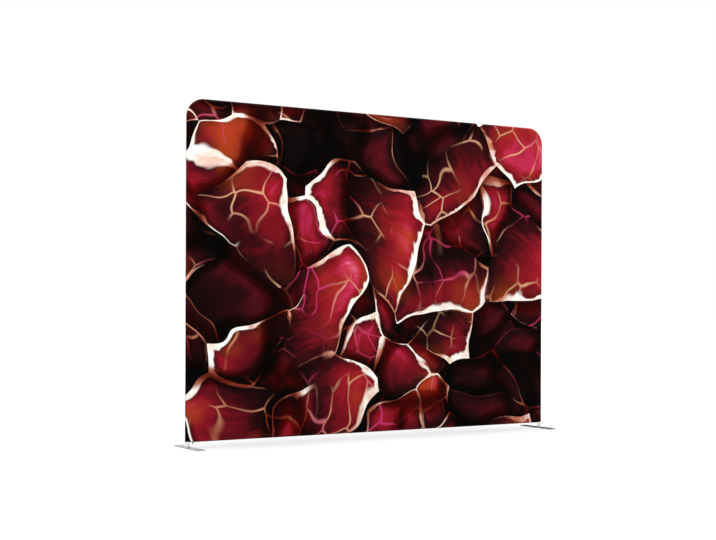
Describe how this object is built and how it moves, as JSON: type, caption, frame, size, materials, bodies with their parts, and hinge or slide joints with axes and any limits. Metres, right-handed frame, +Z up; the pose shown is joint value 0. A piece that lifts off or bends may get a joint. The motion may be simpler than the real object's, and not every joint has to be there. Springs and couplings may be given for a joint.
{
  "type": "fabric room divider",
  "caption": "Free-standing display wall: a zipped stretch-cloth cover with a print on both faces over a snap-together frame of round tubes, on flat steel feet.",
  "frame": {"origin": "on the floor under the middle of the wall, in the plane of the cover's seam", "axes": "+X along the wall to the right as seen from the front, +Y to the back, +Z up"},
  "size_m": [3, 0.36, 2.3],
  "materials": {
    "tube": "satin anodised",
    "print": "printed stretch polyester",
    "zip_tape": "woven tape",
    "zip_teeth": "nylon coil",
    "zip_metal": "semi-gloss black",
    "spring": "spring steel",
    "button": "plated",
    "foot_plate": "satin",
    "spigot": "turned",
    "screw": "zinc plated"
  },
  "bodies": {
    "frame": {"left_upright_lower": "tube", "left_upright_upper": "tube", "left_corner_tube": "tube", "right_upright_lower": "tube", "right_upright_upper": "tube", "right_corner_tube": "tube", "top_rail_left": "tube", "top_rail_centre": "tube", "top_rail_right": "tube", "bottom_rail_left": "tube", "bottom_rail_centre": "tube", "bottom_rail_right": "tube", "centre_post_lower": "tube", "centre_post_upper": "tube", "front_print": "print", "back_print": "print", "zip_tape_front": "zip_tape", "zip_tape_back": "zip_tape", "zip_teeth_front": "zip_teeth", "zip_teeth_back": "zip_teeth", "zip_stops": "zip_metal", "snap_springs": "spring"},
    "left_foot": {"left_foot_plate": "foot_plate", "left_foot_spigot": "spigot", "left_foot_screw": "screw"},
    "right_foot": {"right_foot_plate": "foot_plate", "right_foot_spigot": "spigot", "right_foot_screw": "screw"},
    "slider": {"zip_slider": "zip_metal"},
    "pull": {"zip_pull": "zip_metal"},
    "button_left_upright": {"button_left_upright": "button"},
    "button_left_corner_low": {"button_left_corner_low": "button"},
    "button_left_corner_top": {"button_left_corner_top": "button"},
    "button_right_upright": {"button_right_upright": "button"},
    "button_right_corner_low": {"button_right_corner_low": "button"},
    "button_right_corner_top": {"button_right_corner_top": "button"},
    "button_top_left": {"button_top_left": "button"},
    "button_top_right": {"button_top_right": "button"},
    "button_bottom_far_left": {"button_bottom_far_left": "button"},
    "button_bottom_left": {"button_bottom_left": "button"},
    "button_bottom_right": {"button_bottom_right": "button"},
    "button_bottom_far_right": {"button_bottom_far_right": "button"},
    "button_post_foot": {"button_post_foot": "button"},
    "button_post_middle": {"button_post_middle": "button"},
    "button_post_head": {"button_post_head": "button"}
  },
  "joints": [
    {"name": "left_foot_swivel", "type": "hinge", "parent": "frame", "child": "left_foot", "pos_m": [-1.4842, 0, 0.006], "axis": [0, 0, 1], "continuous": true},
    {"name": "right_foot_swivel", "type": "hinge", "parent": "frame", "child": "right_foot", "pos_m": [1.4842, 0, 0.006], "axis": [0, 0, 1], "continuous": true},
    {"name": "zip_travel", "type": "slide", "parent": "frame", "child": "slider", "axis": [1, 0, 0], "range_m": [0, 2.8971], "deforming": ["zip_teeth_front", "zip_teeth_back"]},
    {"name": "pull_swing", "type": "hinge", "parent": "slider", "child": "pull", "pos_m": [-1.4462, 0, 0.03685], "axis": [0, 1, 0], "range_deg": [-80, 80]},
    {"name": "press_left_upright", "type": "slide", "parent": "frame", "child": "button_left_upright", "axis": [-1, 0, 0], "range_m": [0, 0.0046], "stiffness_N_per_m": 600, "springref_m": -0.003, "deforming": ["snap_springs"]},
    {"name": "press_left_corner_low", "type": "slide", "parent": "frame", "child": "button_left_corner_low", "axis": [-1, 0, 0], "range_m": [0, 0.0046], "stiffness_N_per_m": 600, "springref_m": -0.003, "deforming": ["snap_springs"]},
    {"name": "press_left_corner_top", "type": "slide", "parent": "frame", "child": "button_left_corner_top", "axis": [0, 0, 1], "range_m": [0, 0.0046], "stiffness_N_per_m": 600, "springref_m": -0.003, "deforming": ["snap_springs"]},
    {"name": "press_right_upright", "type": "slide", "parent": "frame", "child": "button_right_upright", "axis": [1, 0, 0], "range_m": [0, 0.0046], "stiffness_N_per_m": 600, "springref_m": -0.003, "deforming": ["snap_springs"]},
    {"name": "press_right_corner_low", "type": "slide", "parent": "frame", "child": "button_right_corner_low", "axis": [1, 0, 0], "range_m": [0, 0.0046], "stiffness_N_per_m": 600, "springref_m": -0.003, "deforming": ["snap_springs"]},
    {"name": "press_right_corner_top", "type": "slide", "parent": "frame", "child": "button_right_corner_top", "axis": [0, 0, 1], "range_m": [0, 0.0046], "stiffness_N_per_m": 600, "springref_m": -0.003, "deforming": ["snap_springs"]},
    {"name": "press_top_left", "type": "slide", "parent": "frame", "child": "button_top_left", "axis": [0, 0, 1], "range_m": [0, 0.0046], "stiffness_N_per_m": 600, "springref_m": -0.003, "deforming": ["snap_springs"]},
    {"name": "press_top_right", "type": "slide", "parent": "frame", "child": "button_top_right", "axis": [0, 0, 1], "range_m": [0, 0.0046], "stiffness_N_per_m": 600, "springref_m": -0.003, "deforming": ["snap_springs"]},
    {"name": "press_bottom_far_left", "type": "slide", "parent": "frame", "child": "button_bottom_far_left", "axis": [0, 0, -1], "range_m": [0, 0.0046], "stiffness_N_per_m": 600, "springref_m": -0.003, "deforming": ["snap_springs"]},
    {"name": "press_bottom_left", "type": "slide", "parent": "frame", "child": "button_bottom_left", "axis": [0, 0, -1], "range_m": [0, 0.0046], "stiffness_N_per_m": 600, "springref_m": -0.003, "deforming": ["snap_springs"]},
    {"name": "press_bottom_right", "type": "slide", "parent": "frame", "child": "button_bottom_right", "axis": [0, 0, -1], "range_m": [0, 0.0046], "stiffness_N_per_m": 600, "springref_m": -0.003, "deforming": ["snap_springs"]},
    {"name": "press_bottom_far_right", "type": "slide", "parent": "frame", "child": "button_bottom_far_right", "axis": [0, 0, -1], "range_m": [0, 0.0046], "stiffness_N_per_m": 600, "springref_m": -0.003, "deforming": ["snap_springs"]},
    {"name": "press_post_foot", "type": "slide", "parent": "frame", "child": "button_post_foot", "axis": [-1, 0, 0], "range_m": [0, 0.0046], "stiffness_N_per_m": 600, "springref_m": -0.003, "deforming": ["snap_springs"]},
    {"name": "press_post_middle", "type": "slide", "parent": "frame", "child": "button_post_middle", "axis": [-1, 0, 0], "range_m": [0, 0.0046], "stiffness_N_per_m": 600, "springref_m": -0.003, "deforming": ["snap_springs"]},
    {"name": "press_post_head", "type": "slide", "parent": "frame", "child": "button_post_head", "axis": [-1, 0, 0], "range_m": [0, 0.0046], "stiffness_N_per_m": 600, "springref_m": -0.003, "deforming": ["snap_springs"]}
  ]
}
